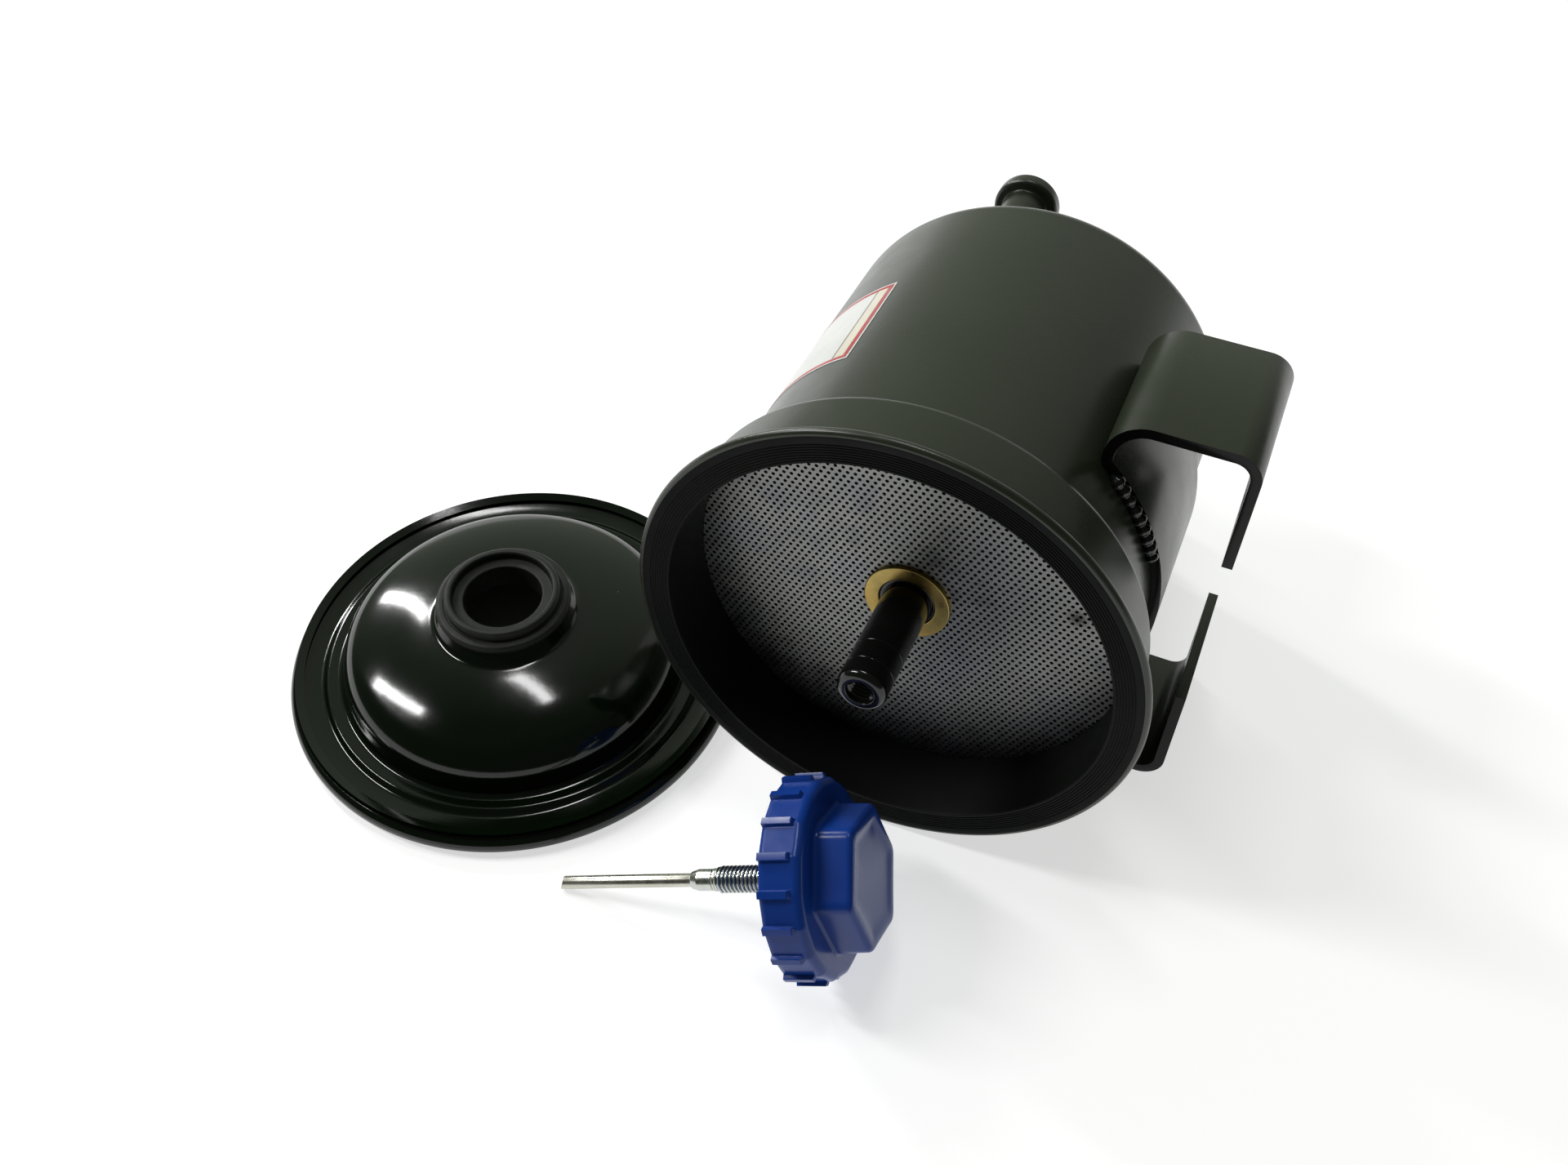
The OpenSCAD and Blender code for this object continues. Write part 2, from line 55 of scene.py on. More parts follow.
# Sizes in mm, the same values as in the CAD source, whose RIB_W is 2.4
CAN_R, CAN_LEN, SHEET, END_R = 64.0, 144.0, 1.5, 7.0
COLLAR_R, COLLAR_LEN = 69.5, 25.8
MOUTH_R, THROAT_R, FLANGE_T, GROOVES, GROOVE_PITCH = 75.0, 65.0, 3.0, 7, 0.8
STRAINER_T, WASHER_R, WASHER_BORE_R, WASHER_T = 1.0, 13.0, 8.5, 1.5
POST_R, POST_OUT, POST_BORE = 7.25, 15.6, 28.0
STRAP_T, STRAP_W, STRAP_Z, STRAP_REACH = 3.0, 48.2, 49.0, 82.4
ARM_UP, ARM_DOWN, FLANGE_LEN, BEND_R, ROOT_R = 64.0, 66.5, 38.0, 8.0, 12.0
STRAP_HOLE_R, STRAP_HOLE_PITCH = 4.5, 28.0
RETURN_X, RETURN_Y = -16, 43.3
RETURN_BEAD_R, RETURN_NECK_R, RETURN_LEN, RETURN_BORE_R = 10.8, 7.5, 32.0, 5.0
SUCTION_X, SUCTION_Y, SUCTION_R, SUCTION_LEN, SUCTION_BORE_R = 16, -36, 12.0, 30.0, 10.0
LABEL_Z, LABEL_LEN, LABEL_START, LABEL_WRAP = 47.5, 42.0, 123.3, 84.0
DOME_R, DOME_H, CROWN_H, NECK_H, NECK_R = 54.2, 19.0, 26.5, 32.4, 22.5
GROMMET_BORE_R, GROMMET_R = 12.6, 21.8
KNOB_R, RIB_N, RIB_H, RIB_W = 27.8, 18, 1.6, 2.2
GRIP_R, KNOB_H, STUD_LEN, PIN_LEN, ROD_R, ROD_LEN = 20.7, 23.0, 25.7, 6.8, 2.0, 44.9
SPRING_R, SPRING_WIRE_R, SPRING_TURNS, SPRING_TOP, TRAVEL = 24.0, 1.25, 3.5, 23.98, 6.0
CAN_X, CAN_Y, CAN_YAW = 38.7, -49.0, 23.8
LID_X, LID_Y = -78.9, 5.9
KNOB_X, KNOB_Y, KNOB_YAW, GRIP_TURN = 14.6, -93.3, -11.1, 55.4
EDGE_R = FLANGE_T / 2
SEAT = 0.02
STRAINER_TOP = CAN_LEN - COLLAR_LEN + SHEET + STRAINER_T

# Sizes read from the photo alone: the lower rim and slimmer neck of the lid, a stain on the strainer
RIM_R, RIM_FOOT_R, RIM_TOP, LID_NECK_R = 74.9, 72.9, 8.2, 20.3
STAIN_X, STAIN_Y = 48, 13.6

# The photo's camera: angle below the horizon, roll, lens on a 36 mm sensor, place from the lid's centre
LOOK_DOWN, CAMERA_ROLL, LENS = 49.18, -0.64, 33.75
EYE_X, EYE_Y, EYE_Z = 90.74, -307.31, 396.46

# ---------------------------------------------------------------- places


def turn(x, y, z):
    """Rotation by x, then y, then z, in degrees."""
    return (
        Matrix.Rotation(math.radians(z), 4, "Z")
        @ Matrix.Rotation(math.radians(y), 4, "Y")
        @ Matrix.Rotation(math.radians(x), 4, "X")
    )


def shift(x, y, z):
    return Matrix.Translation((x, y, z))


TO_METRES = Matrix.Scale(0.001, 4)

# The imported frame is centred: the lid's box says by how much
low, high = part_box("lid_shell")
OFF = shift((low.x + high.x) * 500 - LID_X, (low.y + high.y) * 500 - LID_Y, 0)

# The can lies on its mouth flange and closed end, rolled until the strap's lower bend rests too
drop_r = (MOUTH_R - EDGE_R) - (CAN_R - END_R)
drop_len = CAN_LEN - EDGE_R - END_R
can_dip = math.atan2(drop_r, drop_len) - math.asin((END_R - EDGE_R) / math.hypot(drop_r, drop_len))
mouth_h = EDGE_R + (MOUTH_R - EDGE_R) * math.cos(can_dip)
strap_end_h = mouth_h - (CAN_LEN - EDGE_R - STRAP_Z) * math.sin(can_dip)
bend_y, bend_x = ARM_DOWN - BEND_R, STRAP_REACH - BEND_R
bend_room = strap_end_h / math.cos(can_dip) - BEND_R
can_roll = math.atan2(bend_x, bend_y) - math.acos(min(1, bend_room / math.hypot(bend_x, bend_y)))
CAN = (
    OFF
    @ shift(CAN_X, CAN_Y, mouth_h)
    @ turn(90 - math.degrees(can_dip), 0, -CAN_YAW)
    @ turn(0, 0, -math.degrees(can_roll))
    @ shift(0, 0, EDGE_R - CAN_LEN)
)

LID = OFF @ shift(LID_X, LID_Y, 0)

# The knob rests on its lowest rib and on the tip of the dipstick
RIB_TIP = KNOB_R + RIB_H
PIN_END = -STUD_LEN - PIN_LEN
TIP_END = PIN_END - ROD_LEN
knob_pitch = math.atan2(RIB_TIP - ROD_R, -TIP_END)
KNOB = (
    OFF
    @ shift(KNOB_X, KNOB_Y, RIB_TIP * math.cos(knob_pitch))
    @ turn(0, 90 - math.degrees(knob_pitch), KNOB_YAW)
)

# ---------------------------------------------------------------- shapes


def arc_corner(a, b, c, r, n):
    """Points of a tangent arc of radius r in the corner a-b-c."""
    a, b, c = Vector(a), Vector(b), Vector(c)
    u, v = (a - b).normalized(), (c - b).normalized()
    h = math.acos(max(-1, min(1, u.dot(v)))) / 2
    m = b + (u + v).normalized() * r / math.sin(h)
    p, q = b + u * r / math.tan(h) - m, b + v * r / math.tan(h) - m
    a0 = math.atan2(p.y, p.x)
    step = (math.atan2(q.y, q.x) - a0 + 3 * math.pi) % (2 * math.pi) - math.pi
    sweep = [a0 + step * i / n for i in range(n + 1)]
    return [(m.x + r * math.cos(w), m.y + r * math.sin(w)) for w in sweep]


def rounded(points, n=10, closed=False):
    """Line with rounded corners; each entry is (x, y, radius)."""
    out, count = [], len(points)
    for i, p in enumerate(points):
        if p[2] == 0 or (not closed and i in (0, count - 1)):
            out.append((p[0], p[1]))
        else:
            out += arc_corner(points[i - 1][:2], p[:2], points[(i + 1) % count][:2], p[2], n)
    return out


def beside(path, t):
    """The same path moved to its left by t."""
    out = []
    for i, p in enumerate(path):
        a, b = path[max(i - 1, 0)], path[min(i + 1, len(path) - 1)]
        d = (Vector(b) - Vector(a)).normalized()
        out.append((p[0] - t * d.y, p[1] + t * d.x))
    return out


def resampled(points, step):
    """The same line with no segment longer than step."""
    out = [points[0]]
    for a, b in zip(points, points[1:]):
        n = max(1, math.ceil(math.dist(a, b) / step))
        out += [(a[0] + (b[0] - a[0]) * i / n, a[1] + (b[1] - a[1]) * i / n) for i in range(1, n + 1)]
    return out


def revolve(profile, segs, closed=True, a0=0.0, a1=360.0):
    """Vertices and quads of an (r, z) profile turned about z."""
    full = abs(a1 - a0 - 360) < 1e-6
    rows = segs if full else segs + 1
    n = len(profile)
    verts = []
    for i in range(rows):
        a = math.radians(a0 + (a1 - a0) * i / segs)
        c, s = math.cos(a), math.sin(a)
        verts += [(r * c, r * s, z) for r, z in profile]
    faces = []
    for i in range(segs):
        j = (i + 1) % rows
        for k in range(n if closed else n - 1):
            k2 = (k + 1) % n
            faces.append((i * n + k, j * n + k, j * n + k2, i * n + k2))
    if not full and closed:
        faces.append(tuple(range(n)))
        faces.append(tuple((rows - 1) * n + k for k in reversed(range(n))))
    return verts, faces


def swept(points, radius, sides):
    """Round tube along 3-D points; radius is a function of the point's index."""
    verts, faces = [], []
    pts = [Vector(p) for p in points]
    up = None
    for i, p in enumerate(pts):
        d = (pts[min(i + 1, len(pts) - 1)] - pts[max(i - 1, 0)]).normalized()
        if up is None:
            up = d.orthogonal().normalized()
        up = (up - d * up.dot(d)).normalized()
        side = d.cross(up)
        for k in range(sides):
            a = 2 * math.pi * k / sides
            verts.append(p + radius(i) * (up * math.cos(a) + side * math.sin(a)))
    for i in range(len(pts) - 1):
        for k in range(sides):
            k2 = (k + 1) % sides
            faces.append((i * sides + k, i * sides + k2, (i + 1) * sides + k2, (i + 1) * sides + k))
    faces.append(tuple(reversed(range(sides))))
    faces.append(tuple((len(pts) - 1) * sides + k for k in range(sides)))
    return verts, faces


def joined(parts):
    """One list of vertices and one of faces from several."""
    verts, faces = [], []
    for v, f in parts:
        base = len(verts)
        verts += v
        faces += [tuple(base + i for i in q) for q in f]
    return verts, faces


# ---------------------------------------------------------------- pieces


def cleaned(mesh, merge):
    """Merges doubled points and turns all normals outwards."""
    bm = bmesh.new()
    bm.from_mesh(mesh)
    bmesh.ops.remove_doubles(bm, verts=bm.verts, dist=merge)
    bmesh.ops.dissolve_degenerate(bm, edges=bm.edges, dist=merge)
    bmesh.ops.recalc_face_normals(bm, faces=bm.faces)
    bm.to_mesh(mesh)
    bm.free()


def shaded(mesh, sharp):
    """Smooth shading, with edges over an angle left sharp."""
    mesh.polygons.foreach_set("use_smooth", [True] * len(mesh.polygons))
    mesh.set_sharp_from_angle(angle=math.radians(sharp))


def solid(name, verts, faces, place, face_mats=None, merge=1e-7):
    """Mesh object in metres from vertices in mm."""
    mesh = bpy.data.meshes.new(name)
    mesh.from_pydata([tuple(v) for v in verts], [], faces)
    mesh.transform(TO_METRES @ place)
    if face_mats:
        mesh.polygons.foreach_set("material_index", face_mats)
    cleaned(mesh, merge)
    obj = bpy.data.objects.new(name, mesh)
    bpy.context.scene.collection.objects.link(obj)
    return obj


def piece(name, verts, faces, place, mats, slot, nodes=(), face_mats=None, sharp=32):
    """Finished piece of the reservoir body that stands for CAD nodes."""
    obj = solid(name, verts, faces, place, face_mats)
    for m in mats if isinstance(mats, list) else [mats]:
        obj.data.materials.append(m)
    shaded(obj.data, sharp)
    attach(obj, "reservoir")
    if nodes:
        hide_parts(*nodes)
    return obj


def modified(obj, kind, **settings):
    """Applies one modifier to obj."""
    m = obj.modifiers.new(kind, kind)
    for key, value in settings.items():
        setattr(m, key, value)
    deps = bpy.context.evaluated_depsgraph_get()
    mesh = bpy.data.meshes.new_from_object(obj.evaluated_get(deps))
    obj.modifiers.clear()
    obj.data = mesh


def bevelled(obj, width, segments, angle, sharp):
    """Rounds the edges that are sharper than angle; width in metres."""
    modified(
        obj, "BEVEL", width=width, segments=segments, limit_method="ANGLE", angle_limit=math.radians(angle)
    )
    shaded(obj.data, sharp)


def drilled(obj, holes):
    """Cuts round holes into obj; each entry is (place, radius, lowest z, highest z)."""
    for place, r, z0, z1 in holes:
        line = [(0, z0), (r, z0), (r, z1), (0, z1)]
        tool = solid("cutter", *revolve(line, 96, closed=False), place, merge=1e-6)
        modified(obj, "BOOLEAN", operation="DIFFERENCE", object=tool, solver="EXACT")
        bpy.data.objects.remove(tool)


# ---------------------------------------------------------------- materials


def fill_ramp(node, stops):
    """Gives a colour ramp its stops (place, colour); a colour is a grey level or a triple."""
    elements = node.color_ramp.elements
    while len(elements) < len(stops):
        elements.new(0.5)
    for element, (place, colour) in zip(elements, stops):
        element.position = place
        element.color = (*colour, 1) if isinstance(colour, tuple) else (colour, colour, colour, 1)


class Nodes:
    """Short way to wire a procedural material."""

    def __init__(self, name):
        self.mat = bpy.data.materials.new(name)
        self.mat.use_nodes = True
        self.tree = self.mat.node_tree
        self.bsdf = self.tree.nodes["Principled BSDF"]
        self.coord = self.tree.nodes.new("ShaderNodeTexCoord")

    def set(self, **values):
        """Sets uniform values on the shader's sockets."""
        for key, value in values.items():
            socket = self.bsdf.inputs[key.replace("_", " ")]
            socket.default_value = (*value, 1) if isinstance(value, tuple) else value
        return self

    def node(self, kind, **settings):
        """New node; a setting is a property or an input."""
        n = self.tree.nodes.new(kind)
        for key, value in settings.items():
            if hasattr(n, key):
                setattr(n, key, value)
            else:
                n.inputs[key.replace("_", " ")].default_value = value
        return n

    def link(self, a, b):
        self.tree.links.new(a, b)

    def noise(self, scale, detail=3.0, rough=0.55, stretch=None):
        n = self.node("ShaderNodeTexNoise", Scale=scale, Detail=detail, Roughness=rough)
        if stretch:
            m = self.node("ShaderNodeMapping")
            m.inputs["Scale"].default_value = stretch
            self.link(self.coord.outputs["Object"], m.inputs["Vector"])
            self.link(m.outputs["Vector"], n.inputs["Vector"])
        else:
            self.link(self.coord.outputs["Object"], n.inputs["Vector"])
        return n.outputs["Fac"]

    def ramp(self, fac, stops):
        n = self.node("ShaderNodeValToRGB")
        fill_ramp(n, stops)
        self.link(fac, n.inputs["Fac"])
        return n.outputs["Color"]

    def drift(self, scale, detail, a, b):
        """Slow noise from a to b, levels or colours."""
        return self.ramp(self.noise(scale, detail), [(0.3, a), (0.7, b)])

    def mix(self, fac, a, b, blend="MIX"):
        n = self.node("ShaderNodeMix", data_type="RGBA", blend_type=blend)
        for value, index in ((fac, 0), (a, 6), (b, 7)):
            if isinstance(value, (int, float)):
                n.inputs[index].default_value = value
            elif isinstance(value, tuple):
                n.inputs[index].default_value = (*value, 1)
            else:
                self.link(value, n.inputs[index])
        return n.outputs[2]

    def bump(self, height, distance, under=None):
        n = self.node("ShaderNodeBump", Strength=1.0, Distance=distance)
        self.link(height, n.inputs["Height"])
        if under:
            self.link(under, n.inputs["Normal"])
        return n.outputs["Normal"]

    def distance(self, place):
        """Distance in metres from a place in the frame."""
        n = self.node("ShaderNodeVectorMath", operation="DISTANCE")
        n.inputs[1].default_value = place
        self.link(self.coord.outputs["Object"], n.inputs[0])
        return n.outputs["Value"]

    def compare(self, operation, value, limit):
        n = self.node("ShaderNodeMath", operation=operation)
        n.inputs[1].default_value = limit
        self.link(value, n.inputs[0])
        return n.outputs[0]

    def specks(self, scale, size):
        """Rare small dots: 1 inside a dot."""
        cells = self.node("ShaderNodeTexVoronoi", Scale=scale)
        self.link(self.coord.outputs["Object"], cells.inputs["Vector"])
        near = self.compare("LESS_THAN", cells.outputs["Distance"], size)
        picked = self.compare("GREATER_THAN", cells.outputs["Color"], 0.86)
        both = self.node("ShaderNodeMath", operation="MULTIPLY")
        self.link(near, both.inputs[0])
        self.link(picked, both.inputs[1])
        return both.outputs[0]

    def done(self, colour, rough, normal=None):
        self.link(colour, self.bsdf.inputs["Base Color"])
        self.link(rough, self.bsdf.inputs["Roughness"])
        if normal is not None:
            self.link(normal, self.bsdf.inputs["Normal"])
        return self.mat


def painted(name, dark, light, rough, peel, dust=None, shine=0.5):
    """Paint with slow colour drift, uneven gloss, orange peel and a little dust."""
    n = Nodes(name).set(Specular_IOR_Level=shine)
    colour = n.ramp(n.noise(14, 4), [(0.32, dark), (0.68, light)])
    if dust:
        colour = n.mix(n.specks(190, dust), colour, (0.42, 0.42, 0.38))
    coarse = n.bump(n.noise(420, 2), peel)
    return n.done(colour, n.drift(60, 5, *rough), n.bump(n.noise(2400, 2), peel / 6, coarse))


def rubber_like(name, dark, light, rough):
    """Rubber with a fine grain and grey specks of dust."""
    n = Nodes(name).set(Specular_IOR_Level=0.25)
    colour = n.mix(n.specks(320, 0.05), n.drift(120, 4, dark, light), (0.09, 0.09, 0.08))
    return n.done(colour, n.drift(300, 3, *rough), n.bump(n.noise(1600, 3), 3e-5))


def metal(name, tones, rough, scale, stain=None):
    """Bare metal with slow colour drift; stain is the place of a small dark spot."""
    n = Nodes(name).set(Metallic=1.0)
    colour = n.ramp(n.noise(scale, 5, 0.6), tones)
    if stain:
        spot = n.ramp(n.distance(stain), [(0.0012, 0.12), (0.0024, 1.0)])
        colour = n.mix(1.0, colour, spot, "MULTIPLY")
    return n.done(colour, n.drift(scale * 4, 4, *rough), n.bump(n.noise(1800, 2), 1.5e-5))


def film(name, a, b):
    """Printed plastic film."""
    n = Nodes(name)
    return n.done(n.drift(80, 4, a, b), n.drift(150, 3, 0.28, 0.42), n.bump(n.noise(260, 3), 1.2e-5))


dark_paint = painted(
    "dark_paint", (0.0135, 0.018, 0.0098), (0.0195, 0.025, 0.0138), (0.25, 0.34), 2.2e-5, 0.035
)
gloss_paint = painted(
    "gloss_paint", (0.0015, 0.0040, 0.0013), (0.0023, 0.0054, 0.0020), (0.09, 0.13), 0.9e-5, 0.02, shine=0.42
)
mouth_paint = painted(
    "mouth_paint", (0.0035, 0.0042, 0.0035), (0.006, 0.007, 0.006), (0.46, 0.58), 2.5e-5, shine=0.08
)
# A darker, glossier copy of the can's paint for the strap's cut edges: painted shade
edge_painted_shade = painted(
    "edge_painted_shade", (0.0025, 0.0032, 0.0025), (0.0045, 0.0055, 0.0045), (0.16, 0.26), 1.5e-5, shine=0.2
)
post_paint = painted("post_paint", (0.004, 0.0045, 0.004), (0.007, 0.008, 0.007), (0.12, 0.2), 1.5e-5)
black_rubber = rubber_like("black_rubber", (0.008, 0.0095, 0.0075), (0.014, 0.016, 0.0125), (0.46, 0.6))

# Darker zinc for the thread's valleys: painted shade in the grooves
thread_painted_shade = metal("thread_painted_shade", [(0.3, (0.10, 0.12, 0.12)), (0.7, (0.16, 0.17, 0.16))], (0.3, 0.4), 160)
zinc_steel = metal(
    "zinc_steel",
    [(0.3, (0.46, 0.54, 0.54)), (0.5, (0.60, 0.61, 0.55)), (0.7, (0.50, 0.56, 0.62))],
    (0.2, 0.32), 160,
)
rod_steel = metal("rod_steel", [(0.3, (0.50, 0.49, 0.42)), (0.7, (0.62, 0.61, 0.55))], (0.24, 0.34), 90)
yellow_zinc = metal(
    "yellow_zinc",
    [
        (0.30, (0.34, 0.225, 0.06)), (0.48, (0.44, 0.31, 0.10)),
        (0.6, (0.30, 0.26, 0.09)), (0.72, (0.42, 0.24, 0.08)),
    ],
    (0.26, 0.4), 55,
)
strainer_steel = metal(
    "strainer_steel",
    [(0.3, (0.185, 0.195, 0.19)), (0.5, (0.235, 0.235, 0.228)), (0.7, (0.19, 0.20, 0.228))],
    (0.34, 0.48), 30,
    stain=CAN @ Vector((STAIN_X, STAIN_Y, STRAINER_TOP)) / 1000,
)

n = Nodes("blue_plastic")
n.set(IOR=1.5, Specular_IOR_Level=0.27, Subsurface_Weight=0.04, Subsurface_Scale=0.002)
n.bsdf.inputs["Subsurface Radius"].default_value = (0.2, 0.4, 1.0)
tone = n.drift(35, 3, (0.006, 0.038, 0.24), (0.008, 0.045, 0.27))
scuff = n.ramp(n.noise(90, 6, 0.7, (1, 9, 1)), [(0.66, 0.0), (0.74, 1.0)])
tone = n.mix(n.mix(0.06, (0, 0, 0), scuff), tone, (0.12, 0.16, 0.4))
blue_plastic = n.done(tone, n.drift(220, 5, 0.21, 0.27), n.bump(n.noise(500, 3), 0.6e-5))

n = Nodes("filter_paper")
filter_paper = n.done(
    n.drift(300, 5, (0.52, 0.43, 0.22), (0.62, 0.53, 0.30)),
    n.drift(500, 3, 0.8, 0.95),
    n.bump(n.noise(1500, 3), 4e-5),
)

film_white = film("film_white", (0.60, 0.61, 0.60), (0.66, 0.66, 0.64))
film_cream = film("film_cream", (0.62, 0.58, 0.47), (0.68, 0.63, 0.52))
film_red = film("film_red", (0.36, 0.012, 0.012), (0.44, 0.02, 0.018))
film_grey = film("film_grey", (0.16, 0.14, 0.13), (0.20, 0.18, 0.16))

# ---------------------------------------------------------------- can

return_place, suction_place = CAN @ shift(RETURN_X, RETURN_Y, 0), CAN @ shift(SUCTION_X, SUCTION_Y, 0)
collar_z = CAN_LEN - COLLAR_LEN
wall = rounded(
    [
        (0, 0, 0), (CAN_R, 0, END_R), (CAN_R, collar_z, 1.8), (COLLAR_R, collar_z, 3.4),
        (COLLAR_R, CAN_LEN - FLANGE_T, 0),
    ],
    16,
)
can = piece("can_shell", *revolve(wall + beside(wall, SHEET)[::-1], 288), CAN, dark_paint, "dark_paint")
drilled(can, [(return_place, RETURN_NECK_R + SEAT, -6, 8), (suction_place, SUCTION_R + SEAT, -6, 8)])
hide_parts("can_end", "can_body", "can_collar")

# Flange with fine gasket grooves and a thin rounded edge, and the throat behind it
edge_centre = MOUTH_R - EDGE_R
spigot = COLLAR_R - SHEET - SEAT
ring = [(spigot, STRAINER_TOP), (spigot, CAN_LEN - FLANGE_T), (edge_centre, CAN_LEN - FLANGE_T)]
for i in range(1, 16):
    a = math.pi * i / 16
    ring.append((edge_centre + EDGE_R * math.sin(a), CAN_LEN - EDGE_R - EDGE_R * math.cos(a)))
ring.append((edge_centre, CAN_LEN))
for i in reversed(range(GROOVES)):
    r0 = THROAT_R + 1.2 + i * GROOVE_PITCH
    for dr, depth in ((0.30, 0), (0.20, 0.07), (0.09, 0.24), (-0.09, 0.24), (-0.20, 0.07), (-0.30, 0)):
        ring.append((r0 + dr, CAN_LEN - depth))
ring += [
    (THROAT_R + 0.5, CAN_LEN), (THROAT_R + 0.2, CAN_LEN - 0.1), (THROAT_R, CAN_LEN - 0.45),
    (THROAT_R, STRAINER_TOP + 0.2), (THROAT_R + 0.2, STRAINER_TOP),
]
RING_SEGS = 320
on_edge = [int(min(a[0], b[0]) > edge_centre - 0.05) for a, b in zip(ring, ring[1:] + ring[:1])]
piece(
    "mouth_flange", *revolve(ring, RING_SEGS), CAN, [mouth_paint, dark_paint], "dark_paint", ["mouth_ring"],
    face_mats=on_edge * RING_SEGS, sharp=40,
)

# Port stubs on the closed end; both start PORT_IN inside the can
PORT_IN = 4
neck = rounded(
    [
        (RETURN_BORE_R, PORT_IN, 0), (RETURN_NECK_R, PORT_IN, 0), (RETURN_NECK_R, 6 - RETURN_LEN, 0.8),
        (RETURN_BEAD_R, 5.6 - RETURN_LEN, 1.4), (RETURN_BEAD_R, -RETURN_LEN, 1.6),
        (RETURN_BORE_R, -RETURN_LEN, 0.8),
    ],
    8, closed=True,
)
piece("return_stub", *revolve(neck, 128), return_place, dark_paint, "dark_paint", ["return_port"])
hose_stub = rounded(
    [
        (SUCTION_BORE_R, PORT_IN, 0), (SUCTION_R, PORT_IN, 0), (SUCTION_R, 8.4 - SUCTION_LEN, 0.8),
        (SUCTION_R + 0.9, 6 - SUCTION_LEN, 0.7), (SUCTION_R, 3.6 - SUCTION_LEN, 0.8),
        (SUCTION_R, -SUCTION_LEN, 0.8), (SUCTION_BORE_R, -SUCTION_LEN, 0.4),
    ],
    6, closed=True,
)
piece("suction_stub", *revolve(hose_stub, 128), suction_place, dark_paint, "dark_paint", ["suction_port"])


def weld_bead(points, r, seed, pitch=1.5):
    """Welded bead: overlapping ripples with uneven height along a line."""
    rng = random.Random(seed)
    steps = [rng.uniform(0.82, 1.16) for _ in range(400)]
    d = [0.0]
    for a, b in zip(points, points[1:]):
        d.append(d[-1] + (Vector(b) - Vector(a)).length)

    def size(i):
        s = d[i] / pitch
        k = int(s)
        wave = 1 - 0.30 * abs(math.cos(math.pi * (s - k))) ** 3
        blend = steps[k] * (1 - (s - k)) + steps[k + 1] * (s - k)
        ends = min(1, 0.35 + d[i] / 2.2, 0.35 + (d[-1] - d[i]) / 2.2)
        return r * wave * blend * ends

    return swept(points, size, 14)


def ring_line(r, z, a0, a1, x=0, y=0):
    """Points 0.35 mm apart on an arc about x, y, angles in degrees."""
    n = max(8, int(math.radians(abs(a1 - a0)) * r / 0.35))
    sweep = [math.radians(a0 + (a1 - a0) * i / n) for i in range(n + 1)]
    return [(x + r * math.cos(a), y + r * math.sin(a), z) for a in sweep]


beads, seed = [], 3
for z in (STRAP_Z - 0.9, STRAP_Z + STRAP_W + 0.9):
    for a0, a1 in ((19, 46), (-46, -19)):
        beads.append(weld_bead(ring_line(CAN_R + 0.9, z, a0, a1), 2.1, seed, 3.3))
        seed += 1
piece("strap_weld_beads", *joined(beads), CAN, post_paint, "dark_paint", ["strap_welds"], sharp=60)
beads = [
    weld_bead(ring_line(RETURN_NECK_R + 0.6, -0.7, 0, 352, RETURN_X, RETURN_Y), 1.35, 11),
    weld_bead(ring_line(SUCTION_R + 0.6, -0.7, 0, 355, SUCTION_X, SUCTION_Y), 1.35, 12),
]
piece("port_weld_beads", *joined(beads), CAN, dark_paint, "dark_paint", ["port_welds"], sharp=60)

# ---------------------------------------------------------------- strap

WRAP_HALF, WRAP_STEPS = math.radians(50), 40
saddle_r = (CAN_R + SEAT) / math.cos(WRAP_HALF / WRAP_STEPS)
leg_x = saddle_r * math.cos(WRAP_HALF)
line = [(STRAP_REACH, ARM_UP - FLANGE_LEN, 0), (STRAP_REACH, ARM_UP, BEND_R), (leg_x, ARM_UP, ROOT_R)]
for i in range(WRAP_STEPS + 1):
    w = WRAP_HALF * (1 - 2 * i / WRAP_STEPS)
    line.append((saddle_r * math.cos(w), saddle_r * math.sin(w), 3 if i % WRAP_STEPS == 0 else 0))
line += [
    (leg_x, -ARM_DOWN, ROOT_R), (STRAP_REACH, -ARM_DOWN, BEND_R), (STRAP_REACH, FLANGE_LEN - ARM_DOWN, 0),
]
path = rounded(line, 14)
outline = path + beside(path, STRAP_T)[::-1]
count = len(outline)
verts = [(x, y, z) for z in (STRAP_Z, STRAP_Z + STRAP_W) for x, y in outline]
faces = [(i, (i + 1) % count, count + (i + 1) % count, count + i) for i in range(count)]
for base in (0, count):
    for i in range(len(path) - 1):
        faces.append((base + i, base + i + 1, base + count - 2 - i, base + count - 1 - i))
# Both cut edges of the strap take the darker copy of the paint: painted shade
shaded_edge_faces = [0] * count + [1] * (len(faces) - count)
strap = piece(
    "strap_band", verts, faces, CAN, [dark_paint, edge_painted_shade], "dark_paint", face_mats=shaded_edge_faces
)
hole_drop = (FLANGE_LEN + BEND_R) / 2
strap_mid = STRAP_Z + STRAP_W / 2
for y in (ARM_UP - hole_drop, hole_drop - ARM_DOWN):
    for side in (-0.5, 0.5):
        hole = CAN @ shift(STRAP_REACH, y, strap_mid + side * STRAP_HOLE_PITCH) @ turn(0, 90, 0)
        drilled(strap, [(hole, STRAP_HOLE_R, -6, 6)])
bevelled(strap, 0.00045, 3, 40, 40)
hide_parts("mount_strap")

# ---------------------------------------------------------------- post, washer and strainer

